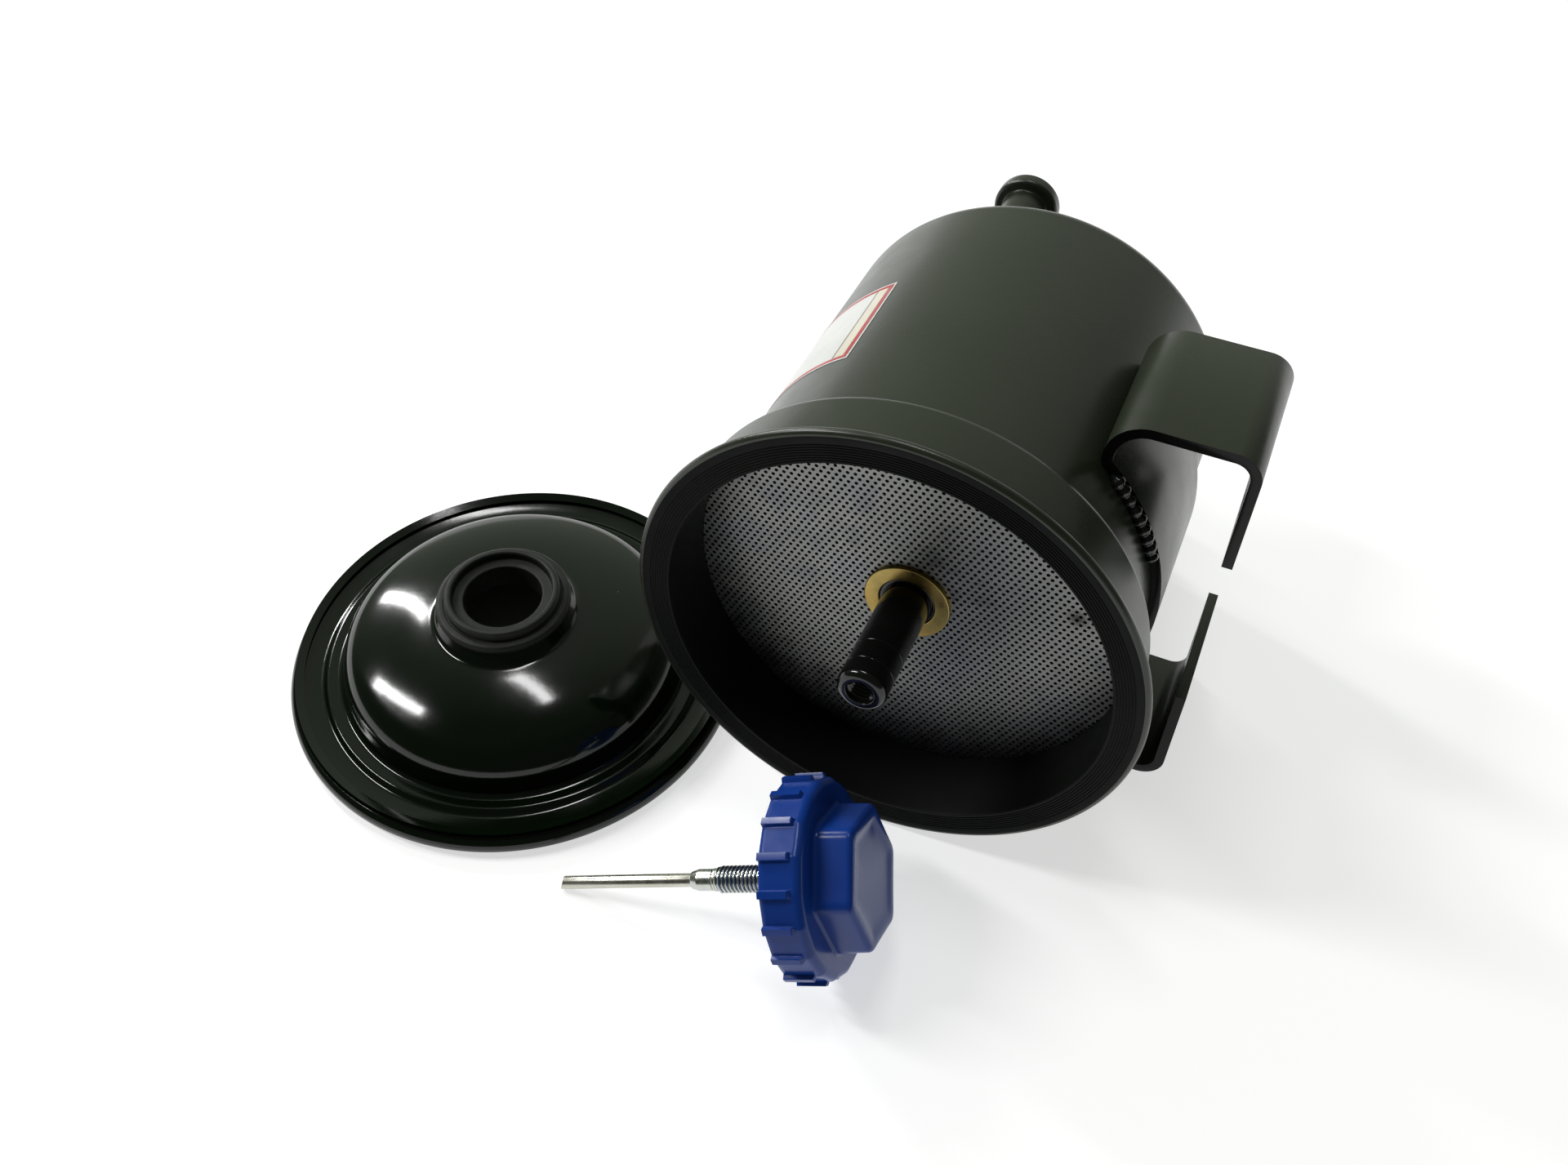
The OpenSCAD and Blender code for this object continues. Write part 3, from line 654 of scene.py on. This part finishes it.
post_top = CAN_LEN + POST_OUT
core, crest, bore_pitch = 3.35, 0.62, 1.25
post = rounded(
    [
        (POST_R, 5, 0), (POST_R, post_top - 14.6, 0), (POST_R, post_top, 2.2),
        (core + 0.9, post_top, 0.3), (core + 0.55, post_top - 0.9, 0),
    ],
    10,
)
side = [(0, 5)] + post[:1]
for z in (post_top - 14, post_top - 7):
    for depth, dz in ((0, -0.3), (0.12, -0.18), (0.16, 0), (0.12, 0.18), (0, 0.3)):
        side.append((POST_R - depth, z + dz))
side += post[2:]
z = post_top - 1.4
while z > post_top - POST_BORE:
    side += [(core + crest, z), (core, z - 0.55), (core, z - 0.7), (core + crest, z - bore_pitch)]
    z -= bore_pitch
side += [(core, z), (0, z - 1.6)]
v, f = revolve(side, 128, closed=False)
piece("post_bar", v, f, CAN, post_paint, "gloss_paint", ["centre_post"], sharp=35)

washer_top = STRAINER_TOP + WASHER_T
washer = rounded(
    [
        (WASHER_BORE_R, STRAINER_TOP, 0), (WASHER_R, STRAINER_TOP, 0),
        (WASHER_R, washer_top, 0.35), (WASHER_BORE_R, washer_top, 0.3),
    ],
    6, closed=True,
)
piece("washer_ring", *revolve(washer, 128), CAN, yellow_zinc, "yellow_zinc", ["strainer_washer"])

# Perforated sheet: each cell of the hole lattice is a hexagon with a hole
LATTICE_A, LATTICE_B, HOLE_R = Vector((-1.392, 1.428)), Vector((0.886, 1.668)), 0.56
THIRD = 1 / 3
CELL = [
    (THIRD, THIRD), (-THIRD, 2 * THIRD), (-2 * THIRD, THIRD),
    (-THIRD, -THIRD), (THIRD, -2 * THIRD), (2 * THIRD, -THIRD),
]


def perforated(r0, r1, z_top, z_low):
    """Sheet with holes between the radii r0 and r1."""
    verts, faces, corner_ids = [], [], {}

    def add(x, y, z):
        verts.append((x, y, z))
        return len(verts) - 1

    def corner_at(i, j, h):
        key = (round((i + h[0]) * 3), round((j + h[1]) * 3))
        if key not in corner_ids:
            p = LATTICE_A * (key[0] / 3) + LATTICE_B * (key[1] / 3)
            corner_ids[key] = add(p.x, p.y, z_top)
        return corner_ids[key]

    def hole_point(centre, direction):
        p = centre + direction.normalized() * HOLE_R
        return add(p.x, p.y, z_top), add(p.x, p.y, z_low)

    for i in range(-60, 61):
        for j in range(-60, 61):
            c = LATTICE_A * i + LATTICE_B * j
            if not r0 < c.length < r1:
                continue
            rim = [corner_at(i, j, h) for h in CELL]
            spokes = [(LATTICE_A * h[0] + LATTICE_B * h[1]).normalized() for h in CELL]
            corners = [hole_point(c, s) for s in spokes]
            mids = [hole_point(c, s + spokes[(k + 1) % 6]) for k, s in enumerate(spokes)]
            for k in range(6):
                k2 = (k + 1) % 6
                (a, a_low), (m, m_low), (b, b_low) = corners[k], mids[k], corners[k2]
                faces.append((rim[k], rim[k2], b, m, a))
                faces.append((a, m, m_low, a_low))
                faces.append((m, b, b_low, m_low))
    return verts, faces


v, f = perforated(POST_R + 1.6, THROAT_R + 1.4, STRAINER_TOP, STRAINER_TOP - STRAINER_T)
piece("strainer_sheet", v, f, CAN, strainer_steel, "strainer_steel", ["strainer_disc"], sharp=30)

# Plain rim under the clamp, and a dark bush between the washer and the post
rim_low, rim_high = STRAINER_TOP - 0.9, STRAINER_TOP - SEAT
rim = [(65.6, rim_low), (67.8, rim_low), (67.8, rim_high), (65.6, rim_high)]
piece("strainer_rim", *revolve(rim, 192), CAN, strainer_steel, "strainer_steel")
bush_r, bush_top = POST_R + 0.1, STRAINER_TOP + 1.1
bush = rounded(
    [
        (bush_r, rim_low, 0), (9.6, rim_low, 0), (9.6, rim_high, 0), (8.4, rim_high, 0),
        (8.4, bush_top, 0.3), (bush_r, bush_top, 0),
    ],
    4, closed=True,
)
piece("strainer_bush", *revolve(bush, 96), CAN, post_paint, "black_rubber")

# ---------------------------------------------------------------- label


def label_strip(x0, x1, y0, y1, r):
    """Film on the can; x in mm round the can from the label's near edge, y in mm along it."""
    per_mm = math.degrees(1 / (CAN_R + 0.1))
    a0, a1, z0, z1 = LABEL_START + x0 * per_mm, LABEL_START + x1 * per_mm, LABEL_Z + y0, LABEL_Z + y1
    inner = CAN_R + 0.01
    profile = rounded([(inner, z0, 0), (r, z0, 0.04), (r, z1, 0.04), (inner, z1, 0)], 3, closed=True)
    return revolve(profile, max(2, int((a1 - a0) / 1.5 + 1e-6)), True, a0, a1)


WIDE, TALL = math.radians(LABEL_WRAP) * (CAN_R + 0.1), LABEL_LEN
OUT, IN, FIELD, STRIPE = 0.7, 2.2, 2.4, 3.6
v, f = label_strip(0, WIDE, 0, TALL, CAN_R + 0.12)
piece("label_base", v, f, CAN, film_white, "label_film", ["label"], sharp=50)
for name, mat, x0, x1, y0, y1 in (
    ("label_border_front", film_red, OUT, WIDE - OUT, TALL - IN, TALL - OUT),
    ("label_border_back", film_red, OUT, WIDE - OUT, OUT, IN),
    ("label_border_near", film_red, OUT, IN, IN, TALL - IN),
    ("label_border_far", film_red, WIDE - IN, WIDE - OUT, IN, TALL - IN),
    ("label_band", film_cream, FIELD, FIELD + STRIPE, FIELD, TALL - FIELD),
    ("label_rule", film_grey, FIELD + STRIPE + 0.1, FIELD + STRIPE + 0.6, FIELD, TALL - FIELD),
):
    v, f = label_strip(x0, x1, y0, y1, CAN_R + 0.17)
    piece(name, v, f, CAN, mat, "label_film", sharp=50)

# ---------------------------------------------------------------- lid

# Round the rim, over its hollow band, up a small step to a ledge, and over the dome to the neck
lid_line = [
    (RIM_FOOT_R, 0, 0), (RIM_R, 2.2, 2.2), (RIM_R, RIM_TOP, 3.2), (69.0, 5.9, 34), (63.9, 5.3, 2.2),
    (62.3, 6.9, 1.4), (57.4, 6.4, 2.2), (DOME_R + 0.1, DOME_H - 0.1, 13.0),
    ((DOME_R + NECK_R) / 2 - 1, CROWN_H, 74), (LID_NECK_R + 3.0, NECK_H - 4.2, 3.2),
    (LID_NECK_R, NECK_H, 2.0), (GROMMET_BORE_R + 4, NECK_H, 0),
]
outside, inside = resampled(rounded(lid_line, 14), 1.2), beside(rounded(lid_line, 5), SHEET)
piece("lid_pressing", *revolve(outside + inside[::-1], 320), LID, gloss_paint, "gloss_paint", ["lid_shell"])

gasket = rounded([(64.6, 0.9, 0.4), (71.9, 0.9, 0.4), (71.9, 3.6, 0.5), (64.6, 3.6, 0.5)], 4, closed=True)
piece("gasket_ring", *revolve(gasket, 256), LID, black_rubber, "black_rubber", ["lid_gasket"], sharp=45)

b, o = GROMMET_BORE_R, GROMMET_R
seat, under = NECK_H + SEAT, NECK_H - SHEET - SEAT
clip = b + 4 - SEAT
section = rounded(
    [
        (clip, under, 0), (clip, seat, 0), (o - 2, seat, 0), (o, seat, 1.2), (o, seat + 3, 1.4),
        (o - 2.6, seat + 3, 0.4), (o - 3.2, seat + 2.2, 0.3), (o - 3.2, seat + 6, 1.1),
        (b + 3.6, seat + 6, 0.9), (b + 3.4, seat + 3.2, 0.4), (b, seat + 3.2, 0.6),
        (b, under - 4, 0.3), (b + 5.6, under - 3, 1), (b + 5.6, under, 0.3),
    ],
    8, closed=True,
)
piece("grommet_ring", *revolve(section, 192), LID, black_rubber, "black_rubber", ["grommet"], sharp=45)

# ---------------------------------------------------------------- knob

GRIP_CORNER = 4
GRIP_FOOT, FOOT_R, GRIP_EDGE, DRAFT = 12.1, 1.0, 1.7, 0.3
RIB_STEP = 2 * math.pi / RIB_N
# Share of the way from a rib's middle to its flank, and past it
FLANK_SHARES = (-1.35, -1.12, -1.03, -0.97, -0.88, -0.7, -0.35, 0, 0.35, 0.7, 0.88, 0.97, 1.03, 1.12, 1.35)
# Dished front of the grip: share of its radius, depth
DISH = (
    (0.96, 0.0), (0.92, 0.04), (0.88, 0.16), (0.84, 0.36), (0.79, 0.56),
    (0.72, 0.68), (0.6, 0.74), (0.4, 0.78), (0.2, 0.8),
)


def soft_step(x, w):
    """0 below -w, 1 above w, smooth between."""
    t = max(0.0, min(1.0, (x + w) / (2 * w)))
    return t * t * (3 - 2 * t)


def hexagon_r(a):
    """Radius of the grip: a hexagon whose corners are arcs."""
    best = 0.0
    corner_at = GRIP_R - GRIP_CORNER
    for k in range(6):
        t = math.radians(60 * k + GRIP_TURN)
        cx, cy = corner_at * math.cos(t), corner_at * math.sin(t)
        proj, off = cx * math.cos(a) + cy * math.sin(a), -cx * math.sin(a) + cy * math.cos(a)
        if abs(off) <= GRIP_CORNER:
            best = max(best, proj + math.sqrt(GRIP_CORNER**2 - off * off))
    flat = corner_at * math.cos(math.radians(30)) + GRIP_CORNER
    d = (math.degrees(a) - GRIP_TURN) % 60 - 30
    limit = math.degrees(math.atan2(corner_at * 0.5, flat))
    return flat / math.cos(math.radians(d)) if abs(d) <= limit else best


def knob_angles():
    """Angles dense at the rib flanks."""
    out = []
    step = 360 / RIB_N
    flank = math.degrees(RIB_W / 2 / (KNOB_R + 0.6))
    for i in range(RIB_N):
        out += [i * step + d * flank for d in FLANK_SHARES]
        span = step - 2.7 * flank
        out += [i * step + 1.35 * flank + span * k / 18 for k in range(1, 18)]
    return [math.radians(a) for a in sorted(a % 360 for a in out)]


def rib_share(a):
    """1 on a rib, 0 on the flats between the ribs."""
    d = (a + RIB_STEP / 2) % RIB_STEP - RIB_STEP / 2
    return 1 - soft_step(abs(d) * (KNOB_R + 0.6) - RIB_W / 2, 0.13)


def facet_r(a, inradius, blend):
    """Flats between the ribs; blend 1 gives flats, 0 gives a circle."""
    d = a % RIB_STEP - RIB_STEP / 2
    return inradius * (1 + (1 / math.cos(d) - 1) * blend)


# Rows of the skirt: height, radius over the flats, share of the ribs, share of the flats
skirt = [(z, KNOB_R - 0.5 * (0.4 - z), 1.0, 1.0) for z in (0.0, 0.15, 0.4)]
for z in (1.5, 3, 4.5, 6, 7.2, 8.0, 8.3, 8.5, 8.7, 8.85, 9.0, 9.15, 9.3):
    skirt.append((z, KNOB_R, 1 - soft_step(z - 8.85, 0.4), 1.0))
for r, z in arc_corner((KNOB_R, 9.3), (KNOB_R, 11.9), (GRIP_R - 1, 12.2), 2.4, 14):
    skirt.append((z, r, 0.0, 1 - 0.35 * soft_step(z - 10.8, 1.2)))


def knob_rows(a):
    """(r, z) line of the knob's outside at angle a, from the rear edge to the middle of the front."""
    line = []
    for z, r, rib, flat in skirt:
        base = facet_r(a, r, flat)
        line.append((base + (RIB_TIP - base) * rib_share(a) * rib, z))
    h = hexagon_r(a)
    r1, z1 = line[-1]
    for t in (0.25, 0.5, 0.75):
        line.append((r1 + (h + FOOT_R - r1) * t, z1 + (GRIP_FOOT - z1) * t))
    for k in range(7):
        w = math.radians(15 * k)
        line.append((h + FOOT_R * (1 - math.sin(w)), GRIP_FOOT + FOOT_R * (1 - math.cos(w))))
    z1 = GRIP_FOOT + FOOT_R
    for t in (0.25, 0.5, 0.75, 1.0):
        line.append((h - DRAFT * t, z1 + (KNOB_H - GRIP_EDGE - z1) * t))
    edge_r = h - DRAFT - GRIP_EDGE
    for k in range(1, 8):
        w = math.radians(90 * k / 7)
        line.append((edge_r + GRIP_EDGE * math.cos(w), KNOB_H - GRIP_EDGE + GRIP_EDGE * math.sin(w)))
    return line + [(edge_r * t, KNOB_H - depth) for t, depth in DISH]


# Hollow underside of the skirt, with the boss that carries the stud
hollow = [
    (KNOB_R - 1.0, 0.0), (KNOB_R - 2.6, 0.0), (KNOB_R - 3.0, 0.4), (KNOB_R - 3.0, 7.6), (KNOB_R - 3.4, 8.0),
    (9.6, 8.0), (9.0, 7.4), (9.0, 2.4), (8.6, 2.0), (4.02, 2.0),
]
angles = knob_angles()
verts, faces = [], []
for a in angles:
    column = hollow[::-1] + knob_rows(a)
    verts += [(r * math.cos(a), r * math.sin(a), z) for r, z in column]
rows, cols = len(column), len(angles)
for i in range(cols):
    j = (i + 1) % cols
    for k in range(rows - 1):
        faces.append((i * rows + k, j * rows + k, j * rows + k + 1, i * rows + k + 1))
faces.append(tuple(i * rows + rows - 1 for i in range(cols)))
faces.append(tuple(i * rows for i in reversed(range(cols))))
piece("knob_body", verts, faces, KNOB, blue_plastic, "blue_plastic", ["knob_grip"], sharp=50)


def thread(r_out, r_core, pitch, z0, z1):
    """Helical ridge from z0 down to z1 that fades out at its end, and a 1 for each face in a valley, which
    gets painted shade.
    """
    verts, faces, valley = [], [], []
    mid, segs, fade = (r_core + r_out) / 2, 72, 0.8
    shape = [
        (0.0, r_core), (0.06, r_core), (0.25, mid), (0.40, r_out - 0.05), (0.46, r_out),
        (0.54, r_out), (0.60, r_out - 0.05), (0.75, mid), (0.94, r_core),
    ]
    n = int(abs(z1 - z0) / pitch * segs)
    for i in range(n + 1):
        a = 2 * math.pi * i / segs
        base = z0 - pitch * i / segs
        run = min(1.0, (n - i) / (segs * fade))
        for t, r in shape:
            rr = r_core + (r - r_core) * run
            verts.append((rr * math.cos(a), rr * math.sin(a), base - t * pitch))
    m = len(shape)
    for i in range(n):
        for k in range(m - 1):
            faces.append((i * m + k, (i + 1) * m + k, (i + 1) * m + k + 1, i * m + k + 1))
            valley.append(int(k < 2 or k > m - 3))
        if i + segs <= n:
            corners = [i * m + m - 1, (i + 1) * m + m - 1, (i + segs + 1) * m, (i + segs) * m]
            if i + segs == n:
                corners.pop(2)
            faces.append(tuple(corners))
            valley.append(1)
    return verts, faces, valley


THREAD_R, THREAD_CORE, THREAD_PITCH = 4.0, 3.37, 1.25
v1, f1, valley = thread(THREAD_R, THREAD_CORE, THREAD_PITCH, 11.0, 1.9 - STUD_LEN)
core_line = rounded(
    [
        (0, 11.9, 0), (THREAD_CORE + 0.01, 11.9, 0), (THREAD_CORE + 0.01, 0.4 - STUD_LEN, 0.3),
        (THREAD_CORE - 0.35, -STUD_LEN - 0.05, 0), (3.2, -STUD_LEN - 0.1, 0), (3.2, PIN_END + 2.2, 0.6),
        (2.6, PIN_END, 0.3), (0, PIN_END, 0),
    ],
    6,
)
v2, f2 = revolve(core_line, 72, closed=False)
v, f = joined([(v1, f1), (v2, f2)])
# Valley faces of the thread take the darker zinc: painted shade
piece(
    "stud_thread", v, f, KNOB, [zinc_steel, thread_painted_shade], "zinc_steel", ["knob_stud"],
    face_mats=valley + [0] * len(f2), sharp=38,
)

# Dipstick rod with a tip cut at a slant
ROD_SIDES, TIP_SLANT = 40, math.tan(math.radians(30))
sweep = [2 * math.pi * i / ROD_SIDES for i in range(ROD_SIDES)]
circle = [(ROD_R * math.cos(a), ROD_R * math.sin(a)) for a in sweep]
verts = [(x, y, TIP_END + (ROD_R - x) * TIP_SLANT) for x, y in circle]
verts += [(x, y, PIN_END - SEAT) for x, y in circle]
faces = [(i, (i + 1) % ROD_SIDES, ROD_SIDES + (i + 1) % ROD_SIDES, ROD_SIDES + i) for i in range(ROD_SIDES)]
faces += [tuple(reversed(range(ROD_SIDES))), tuple(range(ROD_SIDES, 2 * ROD_SIDES))]
stick = piece("dipstick_rod", verts, faces, KNOB, rod_steel, "zinc_steel", ["dipstick"])
bevelled(stick, 0.00018, 2, 45, 35)

# ---------------------------------------------------------------- by-pass spring

# The real spring flattens towards the closed end as the filter pack slides; this coil keeps one shape
spring_low = SHEET + 4.04
spring_len = SPRING_TOP - spring_low
COIL_STEPS = 168
coil_line = []
for i in range(COIL_STEPS + 1):
    t = i / COIL_STEPS
    w = 2 * math.pi * SPRING_TURNS * t
    z = spring_low + SPRING_WIRE_R + (spring_len - 2 * SPRING_WIRE_R) * t
    coil_line.append((SPRING_R * math.cos(w), SPRING_R * math.sin(w), z))
v, f = swept(coil_line, lambda i: SPRING_WIRE_R, 16)
coil = piece("spring_coil", v, f, CAN, zinc_steel, "zinc_steel", ["pack_spring"], sharp=60)
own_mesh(coil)

# ---------------------------------------------------------------- CAD nodes that stay

for node_name, mat in {
    "post_foot": dark_paint,
    "spring_seat": zinc_steel,
    "pack_base": zinc_steel,
    "filter_paper": filter_paper,
    "filter_core": zinc_steel,
    "pack_cap": zinc_steel,
    "post_clip": zinc_steel,
    "pack_seal": black_rubber,
    "knob_seal": black_rubber,
}.items():
    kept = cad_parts[node_name]
    kept.data.materials.clear()
    kept.data.materials.append(mat)

# ---------------------------------------------------------------- floor

# The floor glows a little, but not under the lid, whose hole shows it: there the floor is left without glow
# as painted shade
n = Nodes("studio_floor").set(Emission_Color=(1.0, 1.0, 1.0))
floor_mat = n.done(n.drift(2, 2, 0.60, 0.62), n.drift(5, 2, 0.6, 0.65))
# No glow within 62 mm of the lid's centre: painted shade under the lid
glow = n.node("ShaderNodeMapRange", From_Min=0.062, From_Max=0.07, To_Min=0.0, To_Max=0.62)
n.link(n.distance(OFF @ Vector((LID_X, LID_Y, 0)) / 1000), glow.inputs["Value"])
n.link(glow.outputs["Result"], n.bsdf.inputs["Emission Strength"])
mesh = bpy.data.meshes.new("studio_floor")
mesh.from_pydata([(-4, -4, 0), (4, -4, 0), (4, 4, 0), (-4, 4, 0)], [], [(0, 1, 2, 3)])
mesh.materials.append(floor_mat)
floor = bpy.data.objects.new("studio_floor", mesh)
floor.location.z = -0.0003
bpy.context.scene.collection.objects.link(floor)

# ---------------------------------------------------------------- light


def heading(az, el):
    """Direction at azimuth az from +Y, clockwise, and elevation el."""
    a, e = math.radians(az), math.radians(el)
    return Vector((math.sin(a) * math.cos(e), math.cos(a) * math.cos(e), math.sin(e)))


DOME = (OFF @ Vector((LID_X, LID_Y, 22))) / 1000
LIGHT_FAR = 5.0


def strip_light(name, az, el, length, width, tilt, radiance):
    """Long soft light that spans length by width degrees as seen from the lid's dome."""
    out = heading(az, el)
    level = Vector((out.y, -out.x, 0)).normalized()
    rise = level.cross(out)
    along = level * math.cos(math.radians(tilt)) + rise * math.sin(math.radians(tilt))
    data = bpy.data.lights.new(name, "AREA")
    data.shape = "RECTANGLE"
    data.size = 2 * LIGHT_FAR * math.tan(math.radians(length / 2))
    data.size_y = 2 * LIGHT_FAR * math.tan(math.radians(width / 2))
    data.energy = radiance * math.pi * data.size * data.size_y
    obj = bpy.data.objects.new(name, data)
    facing = Matrix((along, out.cross(along), out)).transposed()
    obj.matrix_world = Matrix.LocRotScale(DOME + out * LIGHT_FAR, facing, None)
    bpy.context.scene.collection.objects.link(obj)


strip_light("strip_back_left", -38.8, 29.1, 28, 3.0, 77, 52)
strip_light("strip_left", -76.5, 45.8, 23, 4.0, 117, 46)
strip_light("strip_top", -7, 76.1, 21, 3.4, 60, 26)

# Dim greenish room, brightest behind the object
world = bpy.data.worlds.new("studio")
world.use_nodes = True
bpy.context.scene.world = world
wn = world.node_tree
coord = wn.nodes.new("ShaderNodeTexCoord")
towards_back = wn.nodes.new("ShaderNodeVectorMath")
towards_back.operation = "DOT_PRODUCT"
towards_back.inputs[1].default_value = heading(5, 20)
ramp = wn.nodes.new("ShaderNodeValToRGB")
levels = [(0.0, 0.06), (0.3, 0.08), (0.6, 0.22), (0.8, 0.38), (1.0, 0.5)]
fill_ramp(ramp, [(place, (level * 0.95, level * 1.04, level * 0.88)) for place, level in levels])
wn.links.new(coord.outputs["Generated"], towards_back.inputs[0])
wn.links.new(towards_back.outputs["Value"], ramp.inputs["Fac"])
wn.links.new(ramp.outputs["Color"], wn.nodes["Background"].inputs["Color"])
wn.nodes["Background"].inputs["Strength"].default_value = 1.0
bpy.context.scene.view_settings.view_transform = "Standard"

# ---------------------------------------------------------------- camera

t, roll = math.radians(LOOK_DOWN), math.radians(CAMERA_ROLL)
down = Vector((0, -math.sin(t), -math.cos(t)))
ahead = Vector((0, math.cos(t), -math.sin(t)))
right = Vector((1, 0, 0))
right, down = right * math.cos(roll) - down * math.sin(roll), right * math.sin(roll) + down * math.cos(roll)
eye = (OFF @ Vector((LID_X + EYE_X, LID_Y + EYE_Y, EYE_Z))) / 1000
cam_data = bpy.data.cameras.new("photo_camera")
cam_data.lens, cam_data.sensor_width = LENS, 36.0
cam_data.clip_start = 0.01
camera = bpy.data.objects.new("photo_camera", cam_data)
camera.matrix_world = Matrix.LocRotScale(eye, Matrix((right, -down, -ahead)).transposed(), None)
bpy.context.scene.collection.objects.link(camera)
bpy.context.scene.camera = camera
